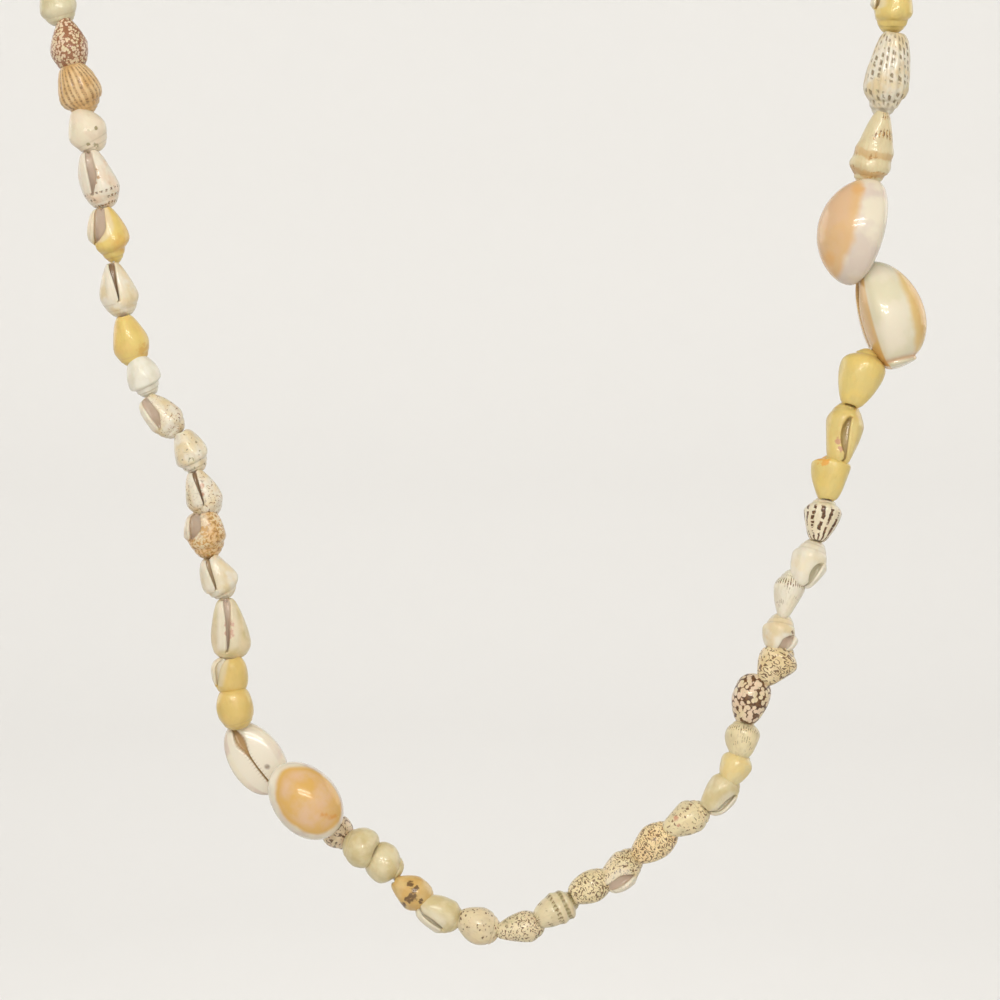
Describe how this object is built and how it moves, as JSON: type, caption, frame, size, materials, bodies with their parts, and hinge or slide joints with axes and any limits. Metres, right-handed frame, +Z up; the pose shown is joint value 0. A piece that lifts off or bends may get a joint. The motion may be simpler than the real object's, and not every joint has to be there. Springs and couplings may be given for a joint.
{
  "type": "shell lei",
  "caption": "Closed string of small sea shells with pairs of cowries between them, hanging as it is worn round a neck.",
  "frame": {"origin": "on the thread at the nape, the middle of the stretch that passes behind the neck", "axes": "+Z up; the front of the lei hangs in an upright plane on the -Y side; +X is to the right as seen from the front"},
  "size_m": [0.2021, 0.1224, 0.3082],
  "materials": {
    "ivory_shell": "natural shell, glossy, ivory to pale green",
    "yellow_shell": "natural shell, glossy, golden yellow",
    "brown_marked_shell": "natural shell, glossy, cream with brown marks",
    "cowrie_shell": "cowrie, high natural gloss, peach and white",
    "thread": "thin pale fishing line"
  },
  "bodies": {
    "root": {"shell_06": "yellow_shell", "shell_07": "ivory_shell", "shell_08": "yellow_shell", "shell_09": "ivory_shell", "shell_10": "brown_marked_shell", "shell_11": "brown_marked_shell", "shell_12": "brown_marked_shell", "shell_13": "brown_marked_shell", "shell_14": "ivory_shell", "shell_15": "ivory_shell", "shell_16": "yellow_shell", "shell_17": "yellow_shell", "shell_18": "brown_marked_shell", "shell_19": "ivory_shell", "shell_20": "ivory_shell", "shell_21": "brown_marked_shell", "shell_22": "ivory_shell", "shell_23": "brown_marked_shell", "shell_24": "brown_marked_shell", "shell_25": "ivory_shell", "shell_26": "brown_marked_shell", "shell_27": "brown_marked_shell", "shell_28": "brown_marked_shell", "shell_29": "brown_marked_shell", "shell_30": "ivory_shell", "shell_31": "ivory_shell", "shell_32": "ivory_shell", "shell_33": "brown_marked_shell", "shell_34": "brown_marked_shell", "shell_35": "ivory_shell", "shell_36": "brown_marked_shell", "shell_37": "ivory_shell", "shell_38": "brown_marked_shell", "shell_39": "yellow_shell", "shell_40": "yellow_shell", "shell_41": "yellow_shell", "cowrie_left_back": "cowrie_shell", "cowrie_left_front": "cowrie_shell", "cowrie_right_lower": "cowrie_shell", "cowrie_right_upper": "cowrie_shell", "strand_right_front": "ivory_shell", "strand_right_shoulder": "ivory_shell", "strand_neck_right": "ivory_shell", "strand_neck_left": "ivory_shell", "strand_left_front": "ivory_shell", "thread": "thread"}
  },
  "joints": []
}
